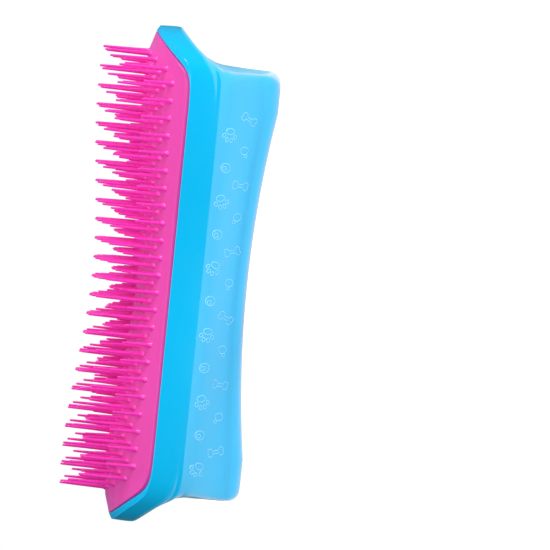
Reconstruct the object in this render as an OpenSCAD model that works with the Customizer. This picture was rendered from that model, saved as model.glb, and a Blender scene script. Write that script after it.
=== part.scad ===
// Hand-held grooming brush: a hollow grip shell, a rigid carrier plate snapped
// into it, and an arched elastomer pad with rows of long and short teeth.
// The brush lies on its back. X runs along it, Y across it, and the teeth point to +Z.
// Z = 0 is the two flat lands at the ends of the grip's back.

/* [Outline] */
// Length over the two end wings
brush_length = 185; // [178:0.5:192]
// Width at the widest place, near each end
end_width = 68.8; // [66:0.2:72]
// Width at the waist
waist_width = 58.3; // [55:0.2:61]
// Height of the long edges of the rim above the lands
rim_height = 32.8; // [31:0.2:35]
// How far the rim's ends rise above its long edges
end_rise = 14.7; // [13:0.1:16]

/* [Grip] */
// Length of the grip's back between its end faces
grip_length = 160.6; // [156:0.2:164]
// Width of the grip's back at its ends
grip_end_width = 46; // [42:0.5:50]
// Width of the grip's back at the waist
grip_waist_width = 36; // [32:0.5:40]
// Height of the arch that runs between the two lands
arch_height = 4.8; // [3:0.1:6]
// Wall thickness of the shell
wall = 2.4; // [2:0.1:2.8]
// Width of the rim's top face along the long edges
rim_width = 2.1; // [1.8:0.1:2.6]

/* [Pad] */
// Height of the pad's crown above the rim at the waist
crown_waist = 12.9; // [12:0.1:14]
// Height of the pad's crown above the rim near the ends
crown_end = 17.6; // [17:0.1:19]
// Thickness of the pad
pad_thick = 3; // [2.6:0.1:3.4]
// Thickness of the carrier plate under the pad
plate_thick = 2; // [1.6:0.1:2.4]

/* [Teeth] */
// Length of a long tooth above the pad
long_tooth = 17; // [14:0.5:18]
// Length of a short tooth above the pad
short_tooth = 10; // [8:0.5:12]
// Diameter of a tooth at the pad
root_d = 1.8; // [1.4:0.1:2]
// Diameter of a tooth at its tip
tip_d = 0.8; // [0.6:0.1:1]
// Distance between one row of long teeth and the next
row_pitch = 7.09; // [7:0.01:7.12]
// Rows of long teeth
long_rows = 24; // [20:2:24]
// Teeth in a row of long teeth
long_columns = 8; // [6:2:8]

/* [Hidden] */

reach = brush_length / 2;
grip_reach = grip_length / 2;
rim_end = 2.7;                          // width of the rim's top face at the ends
pad_reach = reach - rim_end;
swell_reach = 70;                       // where the outline stops widening
arch_reach = 64;                        // half the span of the arch
land_cut = 0.4;                         // how far the lands are trimmed to a plane
end_bow = 14.5;                         // how far the rim's end is swept back at its corners
corner_power = 24;                      // squareness of the outline's corners
end_steps = 16;                         // facets along each end of the outline
side_steps = 30;                        // facets along each side of the outline
vault_radius = 1.25;                    // radius of the pad's arc, in half widths
vault_share = 0.5;                      // rise of the pad's arc, in half widths
pad_gap = 0.15;                         // clearance between pad and rim
seat_depth = pad_thick + 0.15;          // depth of the ledge's top under the joint line
ledge = 2;                              // width and thickness of the ledge under the pad
ledge_root = 0.5;                       // where the ledge's underside meets the wall
carrier_inset = 2.4;                    // from the pad's edge to the carrier's edge
edge_band = 1.5;                        // upright band around the pad, along its sides
band_fade = 0.8;                        // share of the band that is lost at the ends
end_lip = 8.3;                          // height of the upright lip under the rim
grip_shift = -0.8;                      // how far the grip sits from the middle of the rim
field_shift = 1;                        // how far the rows sit from the middle of the pad
crown_fade = 2.6;                       // loss of crown height at the very end
crown_fade_from = 70;
tooth_sink = 0.8;                       // depth of a tooth's root in the pad
row_bow = 0.1;                          // how far a row bends back at its ends
column_share = 10.5;                    // tooth columns that the full width would take
short_columns = long_columns + 1;
tooth_fn = 16;

// Smooth step from 0 at the waist to 1 where the outline is widest
function swell(x) = (1 - cos(180 * min(abs(x) / swell_reach, 1))) / 2;

function half_width(x) = (waist_width + (end_width - waist_width) * swell(x)) / 2;

function grip_half(x) = (grip_waist_width + (grip_end_width - grip_waist_width) * swell(x)) / 2;

function pad_half(x) = half_width(x) - rim_width;

// Circular arc across the pad: 1 on the centre line, 0 at the long edges
function vault(v) = (sqrt(vault_radius ^ 2 - v ^ 2) - vault_radius + vault_share) / vault_share;

// Height of the pad's centre line above the rim's long edges
function crown(x) =
    crown_waist + (crown_end - crown_waist) * swell(x)
    - crown_fade * (max(0, abs(x) - crown_fade_from) / (pad_reach - crown_fade_from)) ^ 3;

function pad_z(x, y) = rim_height + crown(x) * vault(min(abs(y) / pad_half(x), 1));

// Height of the joint line between rim and pad
function joint_z(p) = rim_height + end_rise * vault(min(abs(p.y), 1));

// Rise of the grip's back between the lands
function arch(x) = max(-land_cut, arch_height * (1 - (x / arch_reach) ^ 2));

// A point of the square from -1 to 1, drawn in to a square with rounded corners
function on_plan(a, b) =
    let (s = (abs(a) ^ corner_power + abs(b) ^ corner_power) ^ (-1 / corner_power)) [a * s, b * s];

// The unit outline, counter-clockwise from the corner at +X, -Y, with its points
// drawn together towards the corners
plan = [
    for (i = [0 : end_steps - 1]) on_plan(1, -cos(180 * i / end_steps)),
    for (i = [0 : side_steps - 1]) on_plan(cos(180 * i / side_steps), 1),
    for (i = [0 : end_steps - 1]) on_plan(-1, cos(180 * i / end_steps)),
    for (i = [0 : side_steps - 1]) on_plan(-cos(180 * i / side_steps), -1)
];

// One closed solid from a stack of rings, with a strip cap on the first and the last
module skin(rings) {
    count = len(rings[0]);
    last = (len(rings) - 1) * count;
    first_pair = end_steps / 2;
    wall_faces = [
        for (k = [0 : len(rings) - 2], i = [0 : count - 1])
            let (a = k * count + i, b = k * count + (i + 1) % count)
                each [[a, a + count, b + count], [a, b + count, b]]
    ];
    // Each point of a cap is paired with its mirror image across the XZ plane
    caps = [
        for (i = [first_pair : first_pair + count / 2 - 1])
            let (
                b = (i + 1) % count,
                c = (end_steps - i - 1 + 2 * count) % count,
                d = (end_steps - i + 2 * count) % count,
                at_start = i == first_pair,
                at_end = i == first_pair + count / 2 - 1
            )
                each concat(
                    at_end ? [] : [[i, b, c], [last + i, last + c, last + b]],
                    at_start ? [] : [[i, at_end ? b : c, d], [last + i, last + d, last + (at_end ? b : c)]]
                )
    ];
    polyhedron(points = [for (ring = rings) each ring], faces = concat(wall_faces, caps), convexity = 8);
}

// Sections of the shell's outer surface, from the back up to the rim. Each holds:
// reach of the end face, its height, its bow, flare from grip (1) to rim (0),
// trim of the side, and height of the side.
back_round = 4;
side_round = 8;
grip_bow = 2.5;
outer_sections = [
    for (a = [0 : 22.5 : 90]) [
        grip_reach - back_round * (1 - sin(a)), back_round * (1 - cos(a)), grip_bow,
        1, side_round * (1 - sin(a)), side_round * (1 - cos(a)) * 0.8
    ],
    [grip_reach, 12, grip_bow, 0.81, 0, 9.2],
    [grip_reach, 19, grip_bow, 0.54, 0, 12.3],
    [grip_reach + 0.3, 23.4, 3.2, 0.28, 0, 15.2],
    [grip_reach + 1.3, 26.6, 4.4, 0.1, 0, 17.6],
    [grip_reach + 3.7, 30.6, 7, 0.02, 0, 19.6],
    [grip_reach + 7.6, 35, 10, 0, 0, 21.5],
    [reach - 1.2, rim_height + end_rise - end_lip - 1.6, end_bow - 0.9, 0, 0, rim_height - end_lip - 1.4],
    [reach, rim_height + end_rise - end_lip, end_bow, 0, 0, rim_height - end_lip],
    [reach - 0.15, rim_height + end_rise - 1.7, end_bow, 0, 0.1, rim_height - 1.5],
    [reach - 0.5, rim_height + end_rise - 1, end_bow, 0, 0.2, rim_height - 0.6],
    [reach - 1.9, rim_height + end_rise - 0.1, end_bow, 0, 0.5, rim_height - 0.15],
    [reach - 2.3, rim_height + end_rise, end_bow, 0, 0.9, rim_height]
];

// The ring that a section makes, drawn in by inset and lifted by lift
function shell_ring(s, inset = 0, lift = 0) = [
    for (p = plan)
        let (
            x = p.x * (s[0] - inset - s[2] * p.y ^ 2) + grip_shift * s[3],
            flared = half_width(x) + (grip_half(x) - half_width(x)) * s[3],
            y = p.y * (flared - s[4] - inset),
            z = s[5] + (s[1] - s[5]) * vault(abs(p.y)),
            arch_fade = max(0, 1 - s[5] / 20)
        )
            [x, y, z + lift + arch(x) * arch_fade]
];

// A ring around the pad's outline, drawn in by inset, at drop under the joint line,
// and raised by a band that fades towards the ends
function joint_ring(inset, drop, band = 0) = [
    for (p = plan)
        let (
            x = p.x * (pad_reach - inset - end_bow * p.y ^ 2),
            raised = band * (1 - band_fade * vault(abs(p.y)))
        )
            [x, p.y * (pad_half(x) - inset), joint_z(p) - drop + raised]
];

// A ring on the pad's vault, scaled by q from the centre, at drop under it
function pad_ring(q, drop) = [
    for (p = plan)
        let (x = q * p.x * (pad_reach - end_bow * (q * p.y) ^ 2), y = q * p.y * pad_half(x))
            [x, y, pad_z(x, y) - drop]
];

pad_shares = [0.9, 0.8, 0.7, 0.6, 0.5, 0.4, 0.3, 0.2, 0.1];
pad_shares_up = [for (i = [len(pad_shares) - 1 : -1 : 0]) pad_shares[i]];

module handle_shell() {
    inner_lift = [for (s = outer_sections) s[5] < 8 ? wall : wall * 0.5];
    inner_top = len(outer_sections) - 6;
    color("deepskyblue")
        intersection() {
            skin(concat(
                [for (s = outer_sections) shell_ring(s)],
                [
                    joint_ring(-pad_gap, 0),
                    joint_ring(-pad_gap, seat_depth),
                    joint_ring(ledge, seat_depth),
                    joint_ring(ledge, seat_depth + ledge),
                    joint_ring(ledge_root, seat_depth + ledge)
                ],
                [
                    for (k = [inner_top : -1 : 0])
                        shell_ring(outer_sections[k], wall, inner_lift[k])
                ]
            ));
            translate([-reach - 1, -end_width, 0])
                cube([brush_length + 2, 2 * end_width, 2 * rim_height]);
        }
}

// A snap hook that hangs from the carrier's edge and catches under the ledge, facing +X
module snap_hook() {
    leg = 2;
    hook_width = 8;
    barb = 1;
    barb_top = seat_depth + ledge + 0.3;
    depth = barb_top + 4;
    leg_top = seat_depth + plate_thick / 2;
    translate([0, hook_width / 2, 0])
        rotate([90, 0, 0])
            linear_extrude(hook_width)
                polygon([
                    [-leg, -leg_top],
                    [0, -leg_top],
                    [0, -barb_top],
                    [barb, -barb_top],
                    [barb, -barb_top - 0.8],
                    [0, -depth],
                    [-leg, -depth]
                ]);
}

module pad_carrier() {
    hook_places = [-56, -28, 0, 28, 56];
    color("white")
        union() {
            skin(concat(
                [for (q = pad_shares_up) pad_ring(q, seat_depth + plate_thick)],
                [
                    joint_ring(carrier_inset, seat_depth + plate_thick),
                    joint_ring(carrier_inset, seat_depth)
                ],
                [for (q = pad_shares) pad_ring(q, seat_depth)]
            ));
            for (x = hook_places, side = [-1, 1])
                translate([x, side * (pad_half(x) - carrier_inset - 0.1), rim_height])
                    rotate([0, 0, side * 90])
                        snap_hook();
            for (side = [0, 180])
                rotate([0, 0, side])
                    translate([pad_reach - carrier_inset - 0.1, 0, rim_height + end_rise])
                        snap_hook();
        }
}

module bristle_pad() {
    color("deeppink")
        skin(concat(
            [for (q = pad_shares_up) pad_ring(q, pad_thick)],
            [
                joint_ring(carrier_inset, pad_thick),
                joint_ring(0, pad_thick),
                joint_ring(0, 0),
                joint_ring(0, 0, edge_band * 0.7),
                joint_ring(0.4, 0, edge_band),
                pad_ring(0.95, 0)
            ],
            [for (q = pad_shares) pad_ring(q, 0)]
        ));
}

// A tapered tooth with a rounded tip, standing on the pad and rooted in it
module tooth(length) {
    tip_r = tip_d / 2;
    translate([0, 0, -tooth_sink])
        rotate_extrude($fn = tooth_fn)
            polygon([
                [0, 0],
                [root_d / 2, 0],
                [tip_r, tooth_sink + length - tip_r],
                [tip_r * 0.7, tooth_sink + length - tip_r * 0.3],
                [0, tooth_sink + length]
            ]);
}

// Rows of teeth across the pad. Each row bends back towards the waist at its ends.
module tooth_field(rows, columns, length) {
    for (i = [0 : rows - 1], j = [0 : columns - 1]) {
        column = j - (columns - 1) / 2;
        row_x = (i - (rows - 1) / 2) * row_pitch;
        x = field_shift + row_x * (1 - row_bow * (2 * column / long_columns) ^ 2);
        y = column * 2 * half_width(x) / column_share;
        translate([x, y, pad_z(x, y)])
            tooth(length);
    }
}

module long_teeth() {
    color("hotpink")
        tooth_field(long_rows, long_columns, long_tooth);
}

module short_teeth() {
    color("hotpink")
        tooth_field(long_rows - 1, short_columns, short_tooth);
}

handle_shell();
pad_carrier();
bristle_pad();
long_teeth();
short_teeth();
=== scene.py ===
"""Studio scene of a palm-held pet grooming brush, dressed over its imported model.

The brush lies on the two flat lands of its grip with its teeth up. X runs along it, Y
across it and Z the way the teeth point. Every length is in metres.
"""

import logging
import math
import random
from dataclasses import astuple, dataclass, field
from enum import Enum
from typing import Iterable, Sequence

import bmesh
import bpy
from mathutils import Matrix, Vector
from mathutils.bvhtree import BVHTree


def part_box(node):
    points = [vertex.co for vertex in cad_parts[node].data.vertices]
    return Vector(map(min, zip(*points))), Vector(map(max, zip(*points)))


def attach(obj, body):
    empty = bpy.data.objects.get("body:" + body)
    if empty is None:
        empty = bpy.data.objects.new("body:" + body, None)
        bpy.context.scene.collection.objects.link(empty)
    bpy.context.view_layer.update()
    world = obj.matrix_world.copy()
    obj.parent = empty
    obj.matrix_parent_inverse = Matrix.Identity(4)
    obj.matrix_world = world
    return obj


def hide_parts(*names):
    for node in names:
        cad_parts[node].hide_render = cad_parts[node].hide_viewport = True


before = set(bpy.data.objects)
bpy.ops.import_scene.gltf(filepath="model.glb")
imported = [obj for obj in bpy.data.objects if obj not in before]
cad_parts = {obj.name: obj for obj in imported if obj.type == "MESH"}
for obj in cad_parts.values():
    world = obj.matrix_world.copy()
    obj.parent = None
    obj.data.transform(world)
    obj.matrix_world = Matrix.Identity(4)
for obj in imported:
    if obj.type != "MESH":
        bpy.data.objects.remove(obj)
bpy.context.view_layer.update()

BODY = "root"
MM = 0.001
LOG = logging.getLogger("grooming_brush")

Point = tuple[float, float, float]
Plan = tuple[float, float]


class Side(Enum):
    """The two long sides of the brush."""

    NEAR = -1
    FAR = 1


class Row(Enum):
    """The two kinds of tooth row on the pad."""

    LONG = "long"
    SHORT = "short"


# --------------------------------------------------------------------------- shape


@dataclass(frozen=True)
class BrushForm:
    """The outline, the arch and the crown that every piece of the brush follows."""

    reach: float
    rim_height: float
    end_half: float = 34.4 * MM
    waist_half: float = 29.15 * MM
    swell_reach: float = 70 * MM
    grip_reach: float = 80.3 * MM
    grip_end_half: float = 23 * MM
    grip_waist_half: float = 18 * MM
    grip_bow: float = 2.5 * MM
    grip_shift: float = -0.8 * MM
    end_bow: float = 14.5 * MM
    end_rise: float = 14.7 * MM
    arch_height: float = 4.8 * MM
    arch_reach: float = 64 * MM
    rim_width: float = 2.1 * MM
    rim_end: float = 2.7 * MM
    crown_waist: float = 12.9 * MM
    crown_end: float = 17.6 * MM
    crown_fade: float = 2.6 * MM
    crown_fade_from: float = 70 * MM
    corner_power: float = 24
    vault_radius: float = 1.25
    vault_share: float = 0.5

    @classmethod
    def from_frame(cls) -> "BrushForm":
        """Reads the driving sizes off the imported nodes.

        Returns:
            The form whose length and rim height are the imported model's.
        """
        shell_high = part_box("handle_shell")[1]
        rise = cls.end_rise
        return cls(reach=shell_high.x, rim_height=shell_high.z - rise)

    @property
    def pad_reach(self) -> float:
        """Distance from the middle of the brush to the end of the pad."""
        return self.reach - self.rim_end

    def swell(self, x: float) -> float:
        """Smooth step from 0 at the waist to 1 where the outline is widest."""
        return (1 - math.cos(math.pi * min(abs(x) / self.swell_reach, 1))) / 2

    def half_width(self, x: float) -> float:
        """Half the width of the rim at x."""
        return self.waist_half + (self.end_half - self.waist_half) * self.swell(x)

    def grip_half(self, x: float) -> float:
        """Half the width of the grip's back at x."""
        return self.grip_waist_half + (self.grip_end_half - self.grip_waist_half) * self.swell(x)

    def pad_half(self, x: float) -> float:
        """Half the width of the pad at x."""
        return self.half_width(x) - self.rim_width

    def vault(self, v: float) -> float:
        """Circular arc across the pad, 1 on the centre line and 0 at its long edges."""
        v = min(abs(v), 1.0)
        rise = math.sqrt(self.vault_radius**2 - v**2) - self.vault_radius
        return (rise + self.vault_share) / self.vault_share

    def crown(self, x: float) -> float:
        """Height of the pad's centre line above the rim's long edges."""
        past = max(0.0, abs(x) - self.crown_fade_from) / (self.pad_reach - self.crown_fade_from)
        rise = (self.crown_end - self.crown_waist) * self.swell(x)
        return self.crown_waist + rise - self.crown_fade * past**3

    def pad_height(self, x: float, y: float) -> float:
        """Height of the pad's surface above the lands."""
        return self.rim_height + self.crown(x) * self.vault(y / self.pad_half(x))

    def joint_height(self, v: float) -> float:
        """Height of the joint line between rim and pad, at v across the plan."""
        return self.rim_height + self.end_rise * self.vault(v)

    def arch(self, x: float) -> float:
        """Rise of the grip's back between the lands."""
        return max(0.0, self.arch_height * (1 - (x / self.arch_reach) ** 2))

    def on_plan(self, a: float, b: float) -> Plan:
        """Draws a point of the square from -1 to 1 in to the rounded outline."""
        power = self.corner_power
        scale = (abs(a) ** power + abs(b) ** power) ** (-1 / power)
        return a * scale, b * scale

    def outline(self, end_steps: int, side_steps: int) -> list[Plan]:
        """The unit outline, counter-clockwise from the corner at +X, -Y.

        Its points are drawn together towards the corners.

        Args:
            end_steps: Points along each end, an even number.
            side_steps: Points along each side.

        Returns:
            Points on the plan from -1 to 1 both ways.
        """
        ends = [-math.cos(math.pi * i / end_steps) for i in range(end_steps)]
        sides = [math.cos(math.pi * i / side_steps) for i in range(side_steps)]
        return (
            [self.on_plan(1, b) for b in ends]
            + [self.on_plan(a, 1) for a in sides]
            + [self.on_plan(-1, -b) for b in ends]
            + [self.on_plan(-a, -1) for a in sides]
        )


@dataclass(frozen=True)
class Section:
    """One level of the shell's skin, at the end faces and along the sides."""

    end_reach: float
    end_z: float
    bow: float
    flare: float
    trim: float
    side_z: float


def blend_sections(rows: Sequence[Section], steps: int) -> list[Section]:
    """Runs a smooth curve through a list of sections.

    Args:
        rows: The sections that the curve passes through.
        steps: Levels made for each gap between two of them.

    Returns:
        The sections along the curve, both ends included.
    """
    values = [astuple(row) for row in rows]
    made = []
    for i in range(len(values) - 1):
        before, start, end = values[max(i - 1, 0)], values[i], values[i + 1]
        after = values[min(i + 2, len(values) - 1)]
        for step in range(steps):
            t = step / steps
            made.append(
                Section(
                    *(
                        max(
                            0.0,
                            b
                            + 0.5 * (c - a) * t
                            + 0.5 * (2 * a - 5 * b + 4 * c - d) * t**2
                            + 0.5 * (3 * b - a - 3 * c + d) * t**3,
                        )
                        for a, b, c, d in zip(before, start, end, after)
                    )
                )
            )
    return made + [rows[-1]]


# --------------------------------------------------------------------------- mesh code


def mesh_piece(name: str, points: Iterable[Point], faces: Iterable[Sequence[int]]) -> bpy.types.Object:
    """Makes a smooth-shaded piece from points and faces.

    Args:
        name: Name of the piece.
        points: Corner points.
        faces: Corner numbers of each face.

    Returns:
        The new object, linked to the scene.
    """
    mesh = bpy.data.meshes.new(name)
    mesh.from_pydata(list(points), [], list(faces))
    mesh.validate()
    work = bmesh.new()
    work.from_mesh(mesh)
    bmesh.ops.remove_doubles(work, verts=work.verts, dist=1e-7)
    bmesh.ops.recalc_face_normals(work, faces=work.faces)
    work.to_mesh(mesh)
    work.free()
    mesh.shade_smooth()
    piece = bpy.data.objects.new(name, mesh)
    bpy.context.scene.collection.objects.link(piece)
    return piece


def skin(name: str, rings: Sequence[Sequence[Point]], end_steps: int) -> bpy.types.Object:
    """Closes a stack of outline rings into one piece, with a strip cap at both ends.

    Args:
        name: Name of the piece.
        rings: Rings of equal length, in order along the skin.
        end_steps: Points along each end of the outline, which pair up across the caps.

    Returns:
        The new object.
    """
    count = len(rings[0])
    faces: list[tuple[int, ...]] = []
    for k in range(len(rings) - 1):
        for i in range(count):
            a, b = k * count + i, k * count + (i + 1) % count
            faces.append((a, b, b + count, a + count))
    first = end_steps // 2
    for base in (0, (len(rings) - 1) * count):
        for i in range(first, first + count // 2):
            corners = [i, i + 1, end_steps - i - 1, end_steps - i]
            loop = [base + c % count for c in corners]
            faces.append(tuple(dict.fromkeys(loop)))
    return mesh_piece(name, [p for ring in rings for p in ring], faces)


def settle_in_box(piece: bpy.types.Object, node: str) -> None:
    """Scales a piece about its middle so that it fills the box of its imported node.

    Args:
        piece: The piece whose mesh is scaled.
        node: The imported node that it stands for.
    """
    low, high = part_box(node)
    corners = [Vector(c) for c in piece.bound_box]
    own_low = Vector(map(min, *corners))
    own_high = Vector(map(max, *corners))
    for vertex in piece.data.vertices:
        for axis in range(3):
            share = (vertex.co[axis] - own_low[axis]) / (own_high[axis] - own_low[axis])
            vertex.co[axis] = low[axis] + share * (high[axis] - low[axis])
    piece.data.update()


# --------------------------------------------------------------------------- node groups


def new_group(
    name: str, inputs: dict[str, tuple[str, object]], outputs: dict[str, str]
) -> bpy.types.NodeTree:
    """Starts a shader node group.

    Args:
        name: Name of the group.
        inputs: Socket type and default value of each input.
        outputs: Socket type of each output.

    Returns:
        The group, with its input and output nodes in place.
    """
    group = bpy.data.node_groups.new(name, "ShaderNodeTree")
    for label, (kind, value) in inputs.items():
        socket = group.interface.new_socket(label, in_out="INPUT", socket_type=kind)
        socket.default_value = value
    for label, kind in outputs.items():
        group.interface.new_socket(label, in_out="OUTPUT", socket_type=kind)
    group.nodes.new("NodeGroupInput").name = "In"
    group.nodes.new("NodeGroupOutput").name = "Out"
    return group


def add_node(tree: bpy.types.NodeTree, kind: str, **settings: object) -> bpy.types.Node:
    """Adds a shader node and sets it up.

    Args:
        tree: The tree that the node goes in.
        kind: The node's type name.
        **settings: Node properties, or input values whose names start with "in_".

    Returns:
        The new node.
    """
    node = tree.nodes.new(kind)
    for key, value in settings.items():
        if key.startswith("in_"):
            node.inputs[key[3:].replace("_", " ")].default_value = value
        else:
            setattr(node, key, value)
    return node


def math_node(tree: bpy.types.NodeTree, operation: str, a: object, b: object) -> bpy.types.NodeSocket:
    """Adds a Math node.

    Args:
        tree: The tree that the node goes in.
        operation: The operation's name.
        a: A socket or a number.
        b: A socket or a number.

    Returns:
        The node's output.
    """
    node = tree.nodes.new("ShaderNodeMath")
    node.operation = operation
    for slot, value in enumerate((a, b)):
        if isinstance(value, bpy.types.NodeSocket):
            tree.links.new(value, node.inputs[slot])
        else:
            node.inputs[slot].default_value = value
    return node.outputs[0]


def moulded_grain_group() -> bpy.types.NodeTree:
    """Fine pitted texture that a spark-eroded mould leaves on plastic and elastomer.

    Returns:
        A group that puts out a height.
    """
    group = new_group(
        "moulded_grain",
        {"Vector": ("NodeSocketVector", (0, 0, 0)), "Scale": ("NodeSocketFloat", 2500.0)},
        {"Height": "NodeSocketFloat"},
    )
    links, source = group.links, group.nodes["In"]
    noise = add_node(group, "ShaderNodeTexNoise", in_Detail=3.0, in_Roughness=0.6)
    pits = add_node(group, "ShaderNodeTexVoronoi", feature="SMOOTH_F1")
    for node in (noise, pits):
        links.new(source.outputs["Vector"], node.inputs["Vector"])
        links.new(source.outputs["Scale"], node.inputs["Scale"])
    deep = math_node(group, "MULTIPLY", pits.outputs["Distance"], 0.6)
    total = math_node(group, "ADD", noise.outputs["Fac"], deep)
    links.new(total, group.nodes["Out"].inputs["Height"])
    return group


def colour_drift_group() -> bpy.types.NodeTree:
    """Slow drift of a pigment's lightness and saturation through a moulding.

    Returns:
        A group that puts out a colour.
    """
    group = new_group(
        "colour_drift",
        {
            "Vector": ("NodeSocketVector", (0, 0, 0)),
            "Base": ("NodeSocketColor", (1, 1, 1, 1)),
            "Deep": ("NodeSocketColor", (0, 0, 0, 1)),
            "Scale": ("NodeSocketFloat", 40.0),
            "Amount": ("NodeSocketFloat", 0.1),
        },
        {"Color": "NodeSocketColor"},
    )
    links, source = group.links, group.nodes["In"]
    noise = add_node(group, "ShaderNodeTexNoise", in_Detail=4.0, in_Roughness=0.55)
    links.new(source.outputs["Vector"], noise.inputs["Vector"])
    links.new(source.outputs["Scale"], noise.inputs["Scale"])
    share = math_node(group, "MULTIPLY", noise.outputs["Fac"], source.outputs["Amount"])
    mix = add_node(group, "ShaderNodeMix", data_type="RGBA")
    links.new(share, mix.inputs["Factor"])
    links.new(source.outputs["Base"], mix.inputs["A"])
    links.new(source.outputs["Deep"], mix.inputs["B"])
    links.new(mix.outputs["Result"], group.nodes["Out"].inputs["Color"])
    return group


def handling_marks_group() -> bpy.types.NodeTree:
    """Faint smudges and hairline scratches that handling leaves on a polished face.

    Returns:
        A group that puts out a mask from 0 to 1.
    """
    group = new_group(
        "handling_marks",
        {"Vector": ("NodeSocketVector", (0, 0, 0)), "Scale": ("NodeSocketFloat", 60.0)},
        {"Mask": "NodeSocketFloat"},
    )
    links, source = group.links, group.nodes["In"]
    smudge = add_node(group, "ShaderNodeTexNoise", in_Detail=5.0, in_Distortion=0.8)
    links.new(source.outputs["Vector"], smudge.inputs["Vector"])
    links.new(source.outputs["Scale"], smudge.inputs["Scale"])
    stretch = add_node(group, "ShaderNodeMapping", in_Scale=(0.12, 1.0, 3.5), in_Rotation=(0, 0.35, 0.2))
    links.new(source.outputs["Vector"], stretch.inputs["Vector"])
    hair = add_node(group, "ShaderNodeTexNoise", in_Detail=2.0)
    links.new(stretch.outputs["Vector"], hair.inputs["Vector"])
    links.new(math_node(group, "MULTIPLY", source.outputs["Scale"], 14.0), hair.inputs["Scale"])
    line = math_node(group, "GREATER_THAN", hair.outputs["Fac"], 0.69)
    soft = math_node(group, "MULTIPLY", math_node(group, "SUBTRACT", smudge.outputs["Fac"], 0.45), 1.6)
    total = math_node(group, "ADD", math_node(group, "MAXIMUM", soft, 0.0), line)
    links.new(math_node(group, "MINIMUM", total, 1.0), group.nodes["Out"].inputs["Mask"])
    return group


def edge_wear_group() -> bpy.types.NodeTree:
    """Mask of the outward edges, broken up by noise, where a moulding is rubbed first.

    Returns:
        A group that puts out a mask from 0 to 1.
    """
    group = new_group(
        "edge_wear",
        {
            "Vector": ("NodeSocketVector", (0, 0, 0)),
            "Threshold": ("NodeSocketFloat", 0.56),
            "Width": ("NodeSocketFloat", 0.08),
        },
        {"Mask": "NodeSocketFloat"},
    )
    links, source = group.links, group.nodes["In"]
    geometry = add_node(group, "ShaderNodeNewGeometry")
    noise = add_node(group, "ShaderNodeTexNoise", in_Scale=900.0, in_Detail=3.0)
    links.new(source.outputs["Vector"], noise.inputs["Vector"])
    raised = math_node(group, "SUBTRACT", geometry.outputs["Pointiness"], source.outputs["Threshold"])
    edge = math_node(group, "DIVIDE", raised, source.outputs["Width"])
    clean = math_node(group, "MINIMUM", math_node(group, "MAXIMUM", edge, 0.0), 1.0)
    broken = math_node(group, "MULTIPLY", clean, noise.outputs["Fac"])
    links.new(broken, group.nodes["Out"].inputs["Mask"])
    return group


@dataclass
class EffectKit:
    """The shader node groups that the finishes share, each built once."""

    grain: bpy.types.NodeTree = field(default_factory=moulded_grain_group)
    drift: bpy.types.NodeTree = field(default_factory=colour_drift_group)
    marks: bpy.types.NodeTree = field(default_factory=handling_marks_group)
    wear: bpy.types.NodeTree = field(default_factory=edge_wear_group)


# --------------------------------------------------------------------------- finishes

Colour = tuple[float, float, float, float]


@dataclass(frozen=True)
class MouldedFinish:
    """A moulded polymer: pigment, polish, mould grain, wear and light within it."""

    name: str
    base: Colour
    deep: Colour
    worn: Colour
    roughness: float
    marks_roughness: float
    drift_amount: float = 0.2
    drift_scale: float = 60.0
    grain_scale: float = 2500.0
    grain_depth: float = 0.00002
    grain_strength: float = 0.2
    wear_threshold: float = 0.56
    coat: float = 0.0
    coat_roughness: float = 0.03
    specular: float = 0.5
    sheen: float = 0.0
    subsurface: float = 0.0
    subsurface_radius: tuple[float, float, float] = (1.0, 0.3, 0.6)
    subsurface_scale: float = 0.001

    def build(self, kit: EffectKit) -> bpy.types.Material:
        """Makes the material.

        Args:
            kit: The shared node groups.

        Returns:
            The finished material.
        """
        material = bpy.data.materials.new(self.name)
        material.use_nodes = True
        tree = material.node_tree
        shader = tree.nodes["Principled BSDF"]
        place = add_node(tree, "ShaderNodeTexCoord").outputs["Object"]
        drift = self._group(tree, kit.drift, place, Scale=self.drift_scale, Amount=self.drift_amount)
        drift.inputs["Base"].default_value = self.base
        drift.inputs["Deep"].default_value = self.deep
        wear = self._group(tree, kit.wear, place, Threshold=self.wear_threshold)
        rubbed = add_node(tree, "ShaderNodeMix", data_type="RGBA")
        tree.links.new(wear.outputs["Mask"], rubbed.inputs["Factor"])
        tree.links.new(drift.outputs["Color"], rubbed.inputs["A"])
        rubbed.inputs["B"].default_value = self.worn
        tree.links.new(rubbed.outputs["Result"], shader.inputs["Base Color"])
        marks = self._group(tree, kit.marks, place)
        spread = math_node(tree, "MULTIPLY", marks.outputs["Mask"], self.marks_roughness)
        tree.links.new(math_node(tree, "ADD", spread, self.roughness), shader.inputs["Roughness"])
        grain = self._group(tree, kit.grain, place, Scale=self.grain_scale)
        bump = add_node(tree, "ShaderNodeBump", in_Strength=self.grain_strength, in_Distance=self.grain_depth)
        tree.links.new(grain.outputs["Height"], bump.inputs["Height"])
        tree.links.new(bump.outputs["Normal"], shader.inputs["Normal"])
        self._set_constants(shader)
        return material

    def _set_constants(self, shader: bpy.types.Node) -> None:
        """Sets the shader values that are the same all over the surface."""
        values = {
            "Coat Weight": self.coat,
            "Coat Roughness": self.coat_roughness,
            "Specular IOR Level": self.specular,
            "Sheen Weight": self.sheen,
            "Subsurface Weight": self.subsurface,
            "Subsurface Radius": self.subsurface_radius,
            "Subsurface Scale": self.subsurface_scale,
        }
        for label, value in values.items():
            shader.inputs[label].default_value = value

    @staticmethod
    def _group(
        tree: bpy.types.NodeTree, group: bpy.types.NodeTree, place: bpy.types.NodeSocket, **values: float
    ) -> bpy.types.Node:
        """Places a shared group in the material and feeds it the object's own coordinates."""
        node = tree.nodes.new("ShaderNodeGroup")
        node.node_tree = group
        tree.links.new(place, node.inputs["Vector"])
        for label, value in values.items():
            node.inputs[label].default_value = value
        return node


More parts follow.
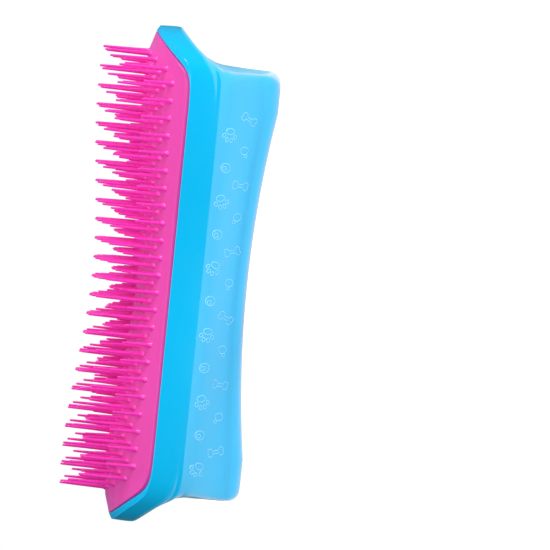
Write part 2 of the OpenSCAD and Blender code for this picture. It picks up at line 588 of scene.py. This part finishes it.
GLOSS_BLUE = MouldedFinish(
    name="gloss_blue_abs",
    base=(0.004, 0.475, 0.84, 1),
    deep=(0.002, 0.435, 0.79, 1),
    worn=(0.05, 0.55, 0.90, 1),
    roughness=0.09,
    marks_roughness=0.06,
    drift_amount=0.5,
    grain_scale=320.0,
    grain_depth=0.00004,
    grain_strength=0.05,
    wear_threshold=0.54,
    coat=1.0,
)
# Painted highlight: the raised pictures are the same blue plastic as the shell, and this paler blue stands in
# for the light that their ridges catch.
RELIEF_BLUE_PAINTED_HIGHLIGHT = MouldedFinish(
    name="relief_painted_highlight",
    base=(0.22, 0.68, 0.97, 1),
    deep=(0.14, 0.60, 0.93, 1),
    worn=(0.36, 0.78, 1.0, 1),
    roughness=0.22,
    marks_roughness=0.06,
    grain_scale=900.0,
    grain_strength=0.1,
)
PINK_PAD = MouldedFinish(
    name="satin_pink_elastomer",
    base=(0.72, 0.052, 0.37, 1),
    deep=(0.65, 0.03, 0.30, 1),
    worn=(0.80, 0.09, 0.44, 1),
    roughness=0.36,
    marks_roughness=0.08,
    drift_amount=0.35,
    grain_scale=3200.0,
    grain_strength=0.35,
    sheen=0.08,
    subsurface=0.15,
)
PINK_TEETH = MouldedFinish(
    name="soft_pink_teeth",
    base=(0.90, 0.035, 0.48, 1),
    deep=(0.80, 0.015, 0.37, 1),
    worn=(0.95, 0.08, 0.56, 1),
    roughness=0.27,
    marks_roughness=0.06,
    drift_amount=0.35,
    drift_scale=220.0,
    grain_scale=3600.0,
    grain_strength=0.25,
    wear_threshold=0.62,
    sheen=0.08,
    subsurface=0.15,
)
NATURAL_CARRIER = MouldedFinish(
    name="natural_white_carrier",
    base=(0.74, 0.74, 0.72, 1),
    deep=(0.62, 0.62, 0.60, 1),
    worn=(0.85, 0.85, 0.84, 1),
    roughness=0.5,
    marks_roughness=0.1,
    grain_scale=2200.0,
    grain_strength=0.4,
)


# --------------------------------------------------------------------------- grip shell


@dataclass
class GripShell:
    """The hollow grip with its end wings, rim and inner ledge; its moulded-in pictures are laid on it by
    PictureRelief.
    """

    form: BrushForm
    back_round: float = 4 * MM
    side_round: float = 8 * MM
    wall: float = 2.4 * MM
    pad_gap: float = 0.15 * MM
    lip_round: float = 0.4 * MM
    seat_depth: float = 3.15 * MM
    end_lip: float = 8.3 * MM
    ledge: float = 2 * MM
    arch_fade: float = 20 * MM
    back_depth: float = 8 * MM
    cavity_rows: int = 12
    end_steps: int = 64
    side_steps: int = 150
    curve_steps: int = 5

    def sections(self) -> list[Section]:
        """The levels that shape the outer skin, from the back up to the rim.

        Returns:
            The sections in order.
        """
        form, low, side = self.form, self.back_round, self.side_round
        reach, grip = form.reach, form.grip_reach
        end_top = form.rim_height + form.end_rise
        rows = []
        for step in range(5):
            turn = math.radians(22.5 * step)
            in_by, up_by = 1 - math.sin(turn), 1 - math.cos(turn)
            rows.append(
                Section(grip - low * in_by, low * up_by, form.grip_bow, 1, side * in_by, side * up_by * 0.8)
            )
        bow, rim, lip = form.end_bow, form.rim_height, self.end_lip
        rows += [
            Section(grip, 12 * MM, form.grip_bow, 0.81, 0, 9.2 * MM),
            Section(grip, 19 * MM, form.grip_bow, 0.54, 0, 12.3 * MM),
            Section(grip + 0.3 * MM, 23.4 * MM, 3.2 * MM, 0.28, 0, 15.2 * MM),
            Section(grip + 1.3 * MM, 26.6 * MM, 4.4 * MM, 0.1, 0, 17.6 * MM),
            Section(grip + 3.7 * MM, 30.6 * MM, 7 * MM, 0.02, 0, 19.6 * MM),
            Section(grip + 7.6 * MM, 35 * MM, 10 * MM, 0, 0, 21.5 * MM),
            Section(reach - 1.2 * MM, end_top - lip - 1.6 * MM, bow - 0.9 * MM, 0, 0, rim - lip - 1.4 * MM),
            Section(reach, end_top - lip, bow, 0, 0, rim - lip),
            Section(reach - 0.15 * MM, end_top - 1.7 * MM, bow, 0, 0.03 * MM, rim - 0.8 * MM),
            Section(reach - 0.5 * MM, end_top - 1 * MM, bow, 0, 0.07 * MM, rim - 0.25 * MM),
            Section(reach - 1.9 * MM, end_top - 0.1 * MM, bow, 0, 0.13 * MM, rim - 0.06 * MM),
            Section(reach - 2.3 * MM, end_top, bow, 0, 0.22 * MM, rim),
        ]
        return rows

    def ring(self, section: Section, plan: Sequence[Plan], inset: float = 0, lift: float = 0) -> list[Point]:
        """The ring that a section makes.

        Args:
            section: The level on the skin.
            plan: The unit outline.
            inset: How far the ring is drawn in.
            lift: How far it is lifted.

        Returns:
            The ring's points.
        """
        form, points = self.form, []
        arch_share = max(0.0, 1 - section.side_z / self.arch_fade)
        for a, b in plan:
            x = a * (section.end_reach - inset - section.bow * b * b) + form.grip_shift * section.flare
            wide = form.half_width(x)
            flared = wide + (form.grip_half(x) - wide) * section.flare
            z = section.side_z + (section.end_z - section.side_z) * form.vault(b)
            points.append((x, b * (flared - section.trim - inset), z + lift + form.arch(x) * arch_share))
        return points

    def joint_ring(self, plan: Sequence[Plan], inset: float, drop: float) -> list[Point]:
        """A ring round the pad's outline, drawn in by inset, at drop under the joint line."""
        form, points = self.form, []
        for a, b in plan:
            x = a * (form.pad_reach - inset - form.end_bow * b * b)
            points.append((x, b * (form.pad_half(x) - inset), form.joint_height(b) - drop))
        return points

    def build(self) -> bpy.types.Object:
        """Makes the shell as one closed skin: outside, rim, ledge and cavity.

        Returns:
            The shell piece.
        """
        plan = self.form.outline(self.end_steps, self.side_steps)
        rows = self.sections()
        outside = [self.ring(s, plan) for s in blend_sections(rows, self.curve_steps)]
        gap, lip, seat = self.pad_gap, self.lip_round, self.seat_depth
        rim = [
            (-gap - lip, 0),
            (-gap - lip * 0.3, lip * 0.3),
            (-gap, lip),
            (-gap, seat),
            (self.ledge, seat),
            (self.ledge, seat + self.ledge),
            (0.5 * MM, seat + self.ledge),
        ]
        inside = [self.joint_ring(plan, inset, drop) for inset, drop in rim]
        for section in reversed(rows[: self.cavity_rows]):
            lift = self.wall if section.side_z < self.back_depth else self.wall / 2
            inside.append(self.ring(section, plan, self.wall, lift))
        shell = skin("grip_shell", outside + inside, self.end_steps)
        settle_in_box(shell, "handle_shell")
        return shell


@dataclass
class PictureRelief:
    """Rows of small raised line pictures on both flanks: paw prints, bones and balls."""

    form: BrushForm
    size: float = 5.6 * MM
    line_width: float = 0.42 * MM
    line_height: float = 0.16 * MM
    pitch: float = 12.2 * MM
    reach: float = 67 * MM
    upper_z: float = 16.6 * MM
    lower_z: float = 10.4 * MM

    @staticmethod
    def ellipse(cx: float, cy: float, rx: float, ry: float, turn: float = 0, steps: int = 28) -> list[Plan]:
        """Closed ellipse, centred at (cx, cy) and turned by turn degrees."""
        c, s = math.cos(math.radians(turn)), math.sin(math.radians(turn))
        ring = []
        for i in range(steps):
            a = 2 * math.pi * i / steps
            u, v = rx * math.cos(a), ry * math.sin(a)
            ring.append((cx + u * c - v * s, cy + u * s + v * c))
        return ring

    def paw(self) -> list[list[Plan]]:
        """A generic paw print: one broad pad under four toes."""
        toes = [(-0.36, 0.12, 18), (-0.14, 0.36, 6), (0.14, 0.36, -6), (0.36, 0.12, -18)]
        return [self.ellipse(0, -0.2, 0.27, 0.2)] + [
            self.ellipse(x, y, 0.095, 0.14, turn, 18) for x, y, turn in toes
        ]

    def bone(self) -> list[list[Plan]]:
        """A generic bone: a shaft with two round knuckles at each end."""
        outline = []
        knuckle, reach = 0.15, 0.36
        apart = knuckle * 0.8
        centres = [(reach, apart), (-reach, apart), (-reach, -apart), (reach, -apart)]
        spans = [(-35, 215), (-35, 215), (145, 395), (145, 395)]
        for (cx, cy), (start, end) in zip(centres, spans):
            for i in range(11):
                a = math.radians(start + (end - start) * i / 10)
                u, v = cx + knuckle * math.cos(a), cy + knuckle * math.sin(a)
                if abs(v) > 0.07 or abs(u) > reach:
                    outline.append((u, v))
        return [outline]

    def ball(self) -> list[list[Plan]]:
        """A generic ball: a circle with a smaller one inside it."""
        return [self.ellipse(0, 0, 0.3, 0.3, 0, 36), self.ellipse(0.06, 0.06, 0.13, 0.13, 0, 20)]

    def tag(self) -> list[list[Plan]]:
        """A collar tag: a disc that hangs from a small ring."""
        return [self.ellipse(0, -0.12, 0.25, 0.25, 0, 32), self.ellipse(0, 0.24, 0.1, 0.1, 0, 16)]

    def build(self, shell: bpy.types.Object) -> bpy.types.Object:
        """Lays the pictures on the flanks of the shell as low rounded ridges.

        Args:
            shell: The finished shell, which the ridges follow.

        Returns:
            The relief piece.
        """
        tree = BVHTree.FromPolygons(
            [v.co for v in shell.data.vertices], [tuple(p.vertices) for p in shell.data.polygons]
        )
        pictures = [self.paw(), self.bone(), self.ball(), self.tag()]
        points: list[Point] = []
        faces: list[Sequence[int]] = []
        count = int(2 * self.reach / self.pitch)
        for side in Side:
            for i in range(count + 1):
                x = -self.reach + self.pitch * i
                for level, z in enumerate((self.upper_z, self.lower_z)):
                    number = i * 2 + level + (1 if side is Side.FAR else 0)
                    centre = (x + level * self.pitch / 2, z)
                    turn = math.radians(90 + (number * 47) % 70 - 35)
                    for outline in pictures[number % len(pictures)]:
                        self._ridge(tree, side, centre, turn, outline, points, faces)
        return mesh_piece("flank_pictures", points, faces)

    def _ridge(
        self,
        tree: BVHTree,
        side: Side,
        centre: Plan,
        turn: float,
        outline: Sequence[Plan],
        points: list[Point],
        faces: list[Sequence[int]],
    ) -> None:
        """Adds one closed ridge, following the flank, to points and faces."""
        c, s = math.cos(turn), math.sin(turn)
        path = []
        for u, v in outline:
            x = centre[0] + (u * c - v * s) * self.size
            z = centre[1] + (u * s + v * c) * self.size + self.form.arch(centre[0]) * 0.3
            hit, normal, _, _ = tree.ray_cast(Vector((x, side.value * 0.1, z)), Vector((0, -side.value, 0)))
            if hit is None:
                return
            path.append((hit, normal * (1 if normal.y * side.value > 0 else -1)))
        half, high = self.line_width / 2, self.line_height
        profile = [
            (-half, -high),
            (-half * 0.8, high * 0.3),
            (-half * 0.35, high),
            (half * 0.35, high),
            (half * 0.8, high * 0.3),
            (half, -high),
        ]
        base, width = len(points), len(profile)
        for i, (place, normal) in enumerate(path):
            along = (path[(i + 1) % len(path)][0] - path[i - 1][0]).normalized()
            across = normal.cross(along).normalized()
            points += [tuple(place + across * u + normal * v) for u, v in profile]
        for i in range(len(path)):
            j = (i + 1) % len(path)
            here, there = base + i * width, base + j * width
            for k in range(width):
                m = (k + 1) % width
                faces.append((here + k, there + k, there + m, here + m))


# --------------------------------------------------------------------------- pad and teeth


@dataclass
class BristlePad:
    """The arched elastomer pad, with its upright band where it stands out of the rim."""

    form: BrushForm
    thick: float = 3 * MM
    seat_inset: float = 2.4 * MM
    band: float = 1.5 * MM
    band_round: float = 0.6 * MM
    band_fade: float = 0.8
    first_share: float = 0.03
    last_share: float = 0.93
    under_share: float = 0.9
    share_steps: int = 23
    end_steps: int = 56
    side_steps: int = 140

    def joint_ring(self, plan: Sequence[Plan], inset: float, drop: float, band: float = 0) -> list[Point]:
        """A ring round the pad's outline, drawn in, and raised by a share of the band."""
        form, points = self.form, []
        for a, b in plan:
            x = a * (form.pad_reach - inset - form.end_bow * b * b)
            raised = band * (1 - self.band_fade * form.vault(b))
            points.append((x, b * (form.pad_half(x) - inset), form.joint_height(b) - drop + raised))
        return points

    def vault_ring(self, plan: Sequence[Plan], share: float, drop: float) -> list[Point]:
        """A ring on the pad's vault, scaled by share from the centre, at drop under it."""
        form, points = self.form, []
        for a, b in plan:
            x = share * a * (form.pad_reach - form.end_bow * (share * b) ** 2)
            y = share * b * form.pad_half(x)
            points.append((x, y, form.pad_height(x, y) - drop))
        return points

    def build(self) -> bpy.types.Object:
        """Makes the pad as one closed skin.

        Returns:
            The pad piece.
        """
        plan = self.form.outline(self.end_steps, self.side_steps)
        span, steps = self.last_share - self.first_share, self.share_steps
        shares = [self.first_share + span * (i / steps) for i in range(steps + 1)]
        under = [self.vault_ring(plan, share, self.thick) for share in shares if share < self.under_share]
        radius, top = self.band_round, self.band
        edge = [
            self.joint_ring(plan, self.seat_inset, self.thick),
            self.joint_ring(plan, 0, self.thick),
            self.joint_ring(plan, 0, 0),
            self.joint_ring(plan, 0, 0, top - radius),
        ]
        for step in range(1, 4):
            turn = math.radians(30 * step)
            inset = radius * (1 - math.cos(turn))
            edge.append(self.joint_ring(plan, inset, 0, top - radius * (1 - math.sin(turn))))
        over = [self.vault_ring(plan, share, 0) for share in reversed(shares)]
        pad = skin("elastomer_pad", under + edge + over, self.end_steps)
        settle_in_box(pad, "bristle_pad")
        return pad


@dataclass
class ToothField:
    """One kind of tooth, in rows across the pad that bend back to the waist at their ends."""

    form: BrushForm
    kind: Row
    length: float
    rows: int
    columns: int
    root_radius: float = 0.84 * MM
    tip_radius: float = 0.4 * MM
    sink: float = 0.7 * MM
    fillet_height: float = 1.2 * MM
    fillet_width: float = 0.35 * MM
    row_pitch: float = 7.09 * MM
    field_shift: float = 1 * MM
    row_bow: float = 0.1
    bow_columns: float = 4
    column_share: float = 10.5
    lean: float = 0.5
    sides: int = 16

    def roots(self) -> list[Point]:
        """Where the teeth stand on the pad.

        Returns:
            One point on the pad's surface for each tooth.
        """
        found = []
        for i in range(self.rows):
            for j in range(self.columns):
                column = j - (self.columns - 1) / 2
                row_x = (i - (self.rows - 1) / 2) * self.row_pitch
                x = self.field_shift + row_x * (1 - self.row_bow * (column / self.bow_columns) ** 2)
                y = column * 2 * self.form.half_width(x) / self.column_share
                found.append((x, y, self.form.pad_height(x, y)))
        return found

    def radius_at(self, height: float) -> float:
        """Radius of a tooth at a height over its root: fillet, taper, then a round tip."""
        dome = self.length - self.tip_radius
        if height > dome:
            return math.sqrt(max(0.0, self.tip_radius**2 - (height - dome) ** 2))
        taper = self.root_radius + (self.tip_radius - self.root_radius) * max(height, 0) / dome
        low = max(0.0, 1 - max(height, 0) / self.fillet_height)
        return taper + self.fillet_width * low**2.5

    def levels(self) -> list[float]:
        """Heights of a tooth's rings, close together at the fillet and the tip."""
        fillet = [self.fillet_height * t for t in (0, 0.12, 0.26, 0.45, 0.7, 1)]
        dome = self.length - self.tip_radius
        shaft = [self.fillet_height + (dome - self.fillet_height) * t for t in (0.25, 0.5, 0.75, 1)]
        tip = [dome + self.tip_radius * math.sin(math.radians(a)) for a in (25, 50, 72)]
        return [-self.sink] + fillet + shaft + tip

    def build(self) -> bpy.types.Object:
        """Makes every tooth of the field in one mesh.

        Returns:
            The piece.
        """
        draw = random.Random(self.kind.value)
        levels = self.levels()
        points: list[Point] = []
        faces: list[Sequence[int]] = []
        for x, y, z in self.roots():
            lean = math.radians(self.lean) * draw.random()
            way = 2 * math.pi * draw.random()
            shift = Vector((math.cos(way), math.sin(way))) * math.tan(lean)
            base = len(points)
            for height in levels:
                radius = self.radius_at(height)
                bend = shift * max(height, 0) ** 2 / self.length
                slope_share = max(0.0, 1 - max(height, 0) / (2 * self.fillet_height))
                for k in range(self.sides):
                    turn = 2 * math.pi * k / self.sides
                    px = x + bend.x + radius * math.cos(turn)
                    py = y + bend.y + radius * math.sin(turn)
                    fall = self.form.pad_height(px, py) - z
                    points.append((px, py, z + height + fall * slope_share))
            tip = shift * self.length
            points.append((x + tip.x, y + tip.y, z + self.length))
            self._faces(base, len(levels), faces)
        return mesh_piece(f"{self.kind.value}_teeth_moulding", points, faces)

    def _faces(self, base: int, count: int, faces: list[Sequence[int]]) -> None:
        """Adds the faces of one tooth whose first point is number base."""
        n = self.sides
        faces.append(tuple(base + k for k in reversed(range(n))))
        for level in range(count - 1):
            for k in range(n):
                a, b = base + level * n + k, base + level * n + (k + 1) % n
                faces.append((a, b, b + n, a + n))
        last, tip = base + (count - 1) * n, base + count * n
        faces += [(last + k, last + (k + 1) % n, tip) for k in range(n)]


# --------------------------------------------------------------------------- studio


@dataclass
class Studio:
    """The pale floor, the soft lights and the camera."""

    form: BrushForm
    distance: float = 1.2
    frame_width: float = 204.85 * MM
    lean: float = 5.83
    end_turn: float = 3.2
    rise: float = 1.55
    aim: Point = (4.28 * MM, 0, -5.25 * MM)
    sensor: float = 36.0
    room_light: float = 0.24
    room_tint: Colour = (0.12, 0.62, 0.95, 1)
    room_mirror: float = 0.6
    dark_mirror: float = 0.03
    low_end_share: float = 0.12
    floor_mirror: float = 0.75
    floor_light: float = 1.15
    floor_seen: float = 1.1
    floor_half: float = 1.5
    floor_drop: float = 0.05 * MM
    room_low_span: Plan = (-0.9, 0.3)
    room_dark_span: Plan = (-0.75, 0.1)
    floor_low_span: Plan = (-0.2, -0.1)
    floor_tint_span: Plan = (0.04, 0.2)

    def build(self) -> None:
        """Sets up the whole studio."""
        self.world()
        self.floor()
        self.lights()
        self.camera()

    def world(self) -> None:
        """A white backdrop to look at, and a grey room to be lit and mirrored by.

        The room is darkest towards the long side where the camera stands, and dimmer
        towards the low end of the brush.
        """
        world = bpy.data.worlds.new("studio_world")
        world.use_nodes = True
        tree = world.node_tree
        tree.nodes.clear()
        shader = add_node(tree, "ShaderNodeBackground")
        path = add_node(tree, "ShaderNodeLightPath")
        tree.links.new(self.tint(tree, path.outputs["Is Glossy Ray"]), shader.inputs["Color"])
        output = add_node(tree, "ShaderNodeOutputWorld")
        way = add_node(tree, "ShaderNodeSeparateXYZ")
        tree.links.new(add_node(tree, "ShaderNodeTexCoord").outputs["Generated"], way.inputs[0])
        along = self.ramp(tree, way.outputs["X"], self.room_low_span, (self.low_end_share, 1.0))
        mirrors = (self.dark_mirror, self.room_mirror)
        mirror = self.ramp(tree, way.outputs["Y"], self.room_dark_span, mirrors)
        lit = math_node(tree, "MULTIPLY", path.outputs["Is Diffuse Ray"], self.room_light)
        mirrored = math_node(tree, "MULTIPLY", path.outputs["Is Glossy Ray"], mirror)
        room = math_node(tree, "ADD", lit, math_node(tree, "MULTIPLY", mirrored, along))
        strength = math_node(tree, "ADD", room, path.outputs["Is Camera Ray"])
        tree.links.new(strength, shader.inputs["Strength"])
        tree.links.new(shader.outputs["Background"], output.inputs["Surface"])
        bpy.context.scene.world = world

    @staticmethod
    def ramp(
        tree: bpy.types.NodeTree, value: bpy.types.NodeSocket, span: Plan, to: Plan
    ) -> bpy.types.NodeSocket:
        """Maps a value smoothly from one span to another.

        Args:
            tree: The tree that the node goes in.
            value: The value to map.
            span: Where it starts and ends.
            to: What it becomes there.

        Returns:
            The node's output.
        """
        node = add_node(tree, "ShaderNodeMapRange", interpolation_type="SMOOTHSTEP")
        tree.links.new(value, node.inputs["Value"])
        for label, number in zip(("From Min", "From Max", "To Min", "To Max"), (*span, *to)):
            node.inputs[label].default_value = number
        return node.outputs["Result"]

    def tint(self, tree: bpy.types.NodeTree, share: bpy.types.NodeSocket) -> bpy.types.NodeSocket:
        """White that turns to the room's tint as share goes from 0 to 1."""
        mix = add_node(tree, "ShaderNodeMix", data_type="RGBA")
        mix.inputs["A"].default_value = (1, 1, 1, 1)
        mix.inputs["B"].default_value = self.room_tint
        tree.links.new(share, mix.inputs["Factor"])
        return mix.outputs["Result"]

    def floor(self) -> None:
        """A pale floor just under the lands, which lights the brush less at its low end."""
        half = self.floor_half
        corners = [(-half, -half, 0), (half, -half, 0), (half, half, 0), (-half, half, 0)]
        floor = mesh_piece("studio_floor", corners, [(0, 1, 2, 3)])
        floor.location.z = -self.floor_drop
        material = bpy.data.materials.new("pale_floor")
        material.use_nodes = True
        tree = material.node_tree
        shader = tree.nodes["Principled BSDF"]
        shader.inputs["Base Color"].default_value = (0.3, 0.3, 0.3, 1)
        shader.inputs["Roughness"].default_value = 1.0
        shader.inputs["Specular IOR Level"].default_value = 0.0
        way = add_node(tree, "ShaderNodeSeparateXYZ")
        path = add_node(tree, "ShaderNodeLightPath")
        tree.links.new(add_node(tree, "ShaderNodeTexCoord").outputs["Object"], way.inputs[0])
        share = self.ramp(tree, way.outputs["X"], self.floor_low_span, (self.low_end_share, 1.0))
        far = self.ramp(tree, way.outputs["Y"], self.floor_tint_span, (0.0, 1.0))
        tinted = math_node(tree, "MULTIPLY", far, path.outputs["Is Glossy Ray"])
        tree.links.new(self.tint(tree, tinted), shader.inputs["Emission Color"])
        mirrored = math_node(tree, "MULTIPLY", path.outputs["Is Glossy Ray"], self.floor_mirror)
        lit = math_node(tree, "MULTIPLY", path.outputs["Is Diffuse Ray"], self.floor_light)
        room = math_node(tree, "MULTIPLY", math_node(tree, "ADD", mirrored, lit), share)
        seen = math_node(tree, "MULTIPLY", path.outputs["Is Camera Ray"], self.floor_seen)
        tree.links.new(math_node(tree, "ADD", room, seen), shader.inputs["Emission Strength"])
        floor.data.materials.append(material)

    def lights(self) -> None:
        """Large soft lights round the brush."""
        self.softbox("key_light", (0.15, -0.75, 0.75), (0.9, 0.7), 5.8)
        self.softbox("tooth_light", (0.0, 0.1, 1.1), (1.2, 0.8), 5.0).visible_glossy = False
        self.softbox("end_light", (0.9, -0.35, 0.5), (0.4, 0.4), 6.0)

    def softbox(self, name: str, place: Point, size: Plan, power: float) -> bpy.types.Object:
        """Adds a rectangular soft light that faces the brush.

        Args:
            name: Name of the light.
            place: Its middle.
            size: Its two sides.
            power: Its power in watts.

        Returns:
            The light object.
        """
        data = bpy.data.lights.new(name, "AREA")
        data.shape = "RECTANGLE"
        data.size, data.size_y = size
        data.energy = power
        light = bpy.data.objects.new(name, data)
        light.location = place
        aim = Vector((0, 0, self.form.rim_height)) - Vector(place)
        light.rotation_euler = aim.to_track_quat("-Z", "Y").to_euler()
        bpy.context.scene.collection.objects.link(light)
        return light

    def camera(self) -> None:
        """A long lens that looks square at one flank, with the brush upright and leaning."""
        turn, rise, lean = (math.radians(a) for a in (self.end_turn, self.rise, self.lean))
        back = Vector((math.sin(turn), -math.cos(turn) * math.cos(rise), math.cos(turn) * math.sin(rise)))
        up = (Vector((1, 0, 0)) - back * back.x).normalized()
        right = up.cross(back)
        leaned_up = up * math.cos(lean) - right * math.sin(lean)
        leaned_right = right * math.cos(lean) + up * math.sin(lean)
        data = bpy.data.cameras.new("studio_camera")
        data.sensor_width = self.sensor
        data.lens = self.sensor * self.distance / self.frame_width
        camera = bpy.data.objects.new("studio_camera", data)
        turned = Matrix((leaned_right, leaned_up, back)).transposed().to_4x4()
        camera.matrix_world = Matrix.Translation(Vector(self.aim) + back * self.distance) @ turned
        bpy.context.scene.collection.objects.link(camera)
        bpy.context.scene.camera = camera


# --------------------------------------------------------------------------- assembly


def place_piece(piece: bpy.types.Object, material: bpy.types.Material, slot: str, *nodes: str) -> None:
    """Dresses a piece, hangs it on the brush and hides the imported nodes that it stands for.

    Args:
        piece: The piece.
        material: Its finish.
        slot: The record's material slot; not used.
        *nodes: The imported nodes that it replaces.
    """
    piece.data.materials.clear()
    piece.data.materials.append(material)
    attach(piece, BODY)
    if nodes:
        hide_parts(*nodes)
    LOG.info("%s: %d faces in %s", piece.name, len(piece.data.polygons), material.name)


def main() -> None:
    """Builds the brush and its studio."""
    logging.basicConfig(level=logging.INFO, format="%(message)s")
    form = BrushForm.from_frame()
    kit = EffectKit()
    finishes = (GLOSS_BLUE, RELIEF_BLUE_PAINTED_HIGHLIGHT, PINK_PAD, PINK_TEETH)
    blue, highlight_blue, pad_pink, tooth_pink = (finish.build(kit) for finish in finishes)

    shell = GripShell(form).build()
    place_piece(shell, blue, "shell_plastic", "handle_shell")
    # The flank pictures wear the paler blue of painted highlight, not a colour of their own.
    place_piece(PictureRelief(form).build(shell), highlight_blue, "shell_plastic")
    place_piece(BristlePad(form).build(), pad_pink, "pad_elastomer", "bristle_pad")
    long_field = ToothField(form, Row.LONG, length=17 * MM, rows=24, columns=8)
    short_field = ToothField(form, Row.SHORT, length=10 * MM, rows=23, columns=9)
    place_piece(long_field.build(), tooth_pink, "tooth_elastomer", "long_teeth")
    place_piece(short_field.build(), tooth_pink, "tooth_elastomer", "short_teeth")

    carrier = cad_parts["pad_carrier"]
    carrier.data.materials.clear()
    carrier.data.materials.append(NATURAL_CARRIER.build(kit))
    LOG.info("pad_carrier: dressed in %s", NATURAL_CARRIER.name)

    Studio(form).build()
    bpy.context.scene.view_settings.view_transform = "Standard"


if __name__ == "__main__":
    main()
